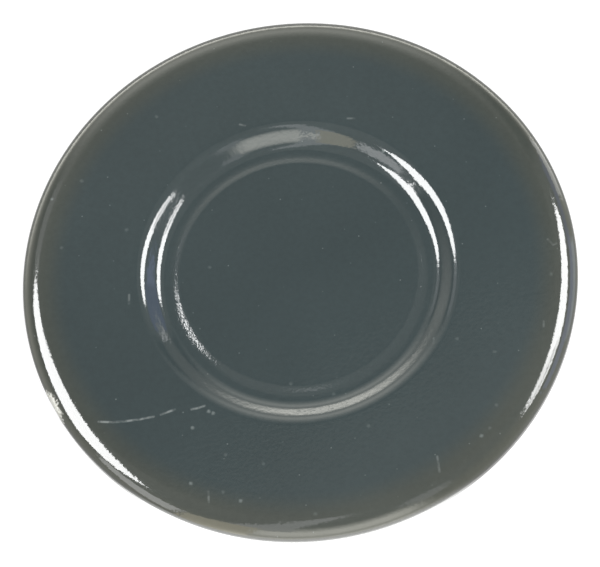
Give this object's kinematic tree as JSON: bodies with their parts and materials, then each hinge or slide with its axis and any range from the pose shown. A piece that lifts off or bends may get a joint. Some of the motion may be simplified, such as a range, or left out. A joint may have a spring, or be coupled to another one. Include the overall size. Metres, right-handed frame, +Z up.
{
  "type": "gas burner cap",
  "caption": "Round enamelled steel cap that covers a gas hob burner, pressed from one sheet with a turned-down rim and a shallow dish in its middle.",
  "frame": {"origin": "on the cap's axis, in the plane of the rim's foot", "axes": "+Z up along the axis, out of the dished top face; X and Y are free because the cap is round"},
  "size_m": [0.1, 0.1, 0.0039],
  "materials": {
    "enamel": "glossy dark slate grey vitreous enamel, lightly scratched, with a worn patch on the rim"
  },
  "bodies": {
    "root": {"burner_cap": "enamel"}
  },
  "joints": []
}
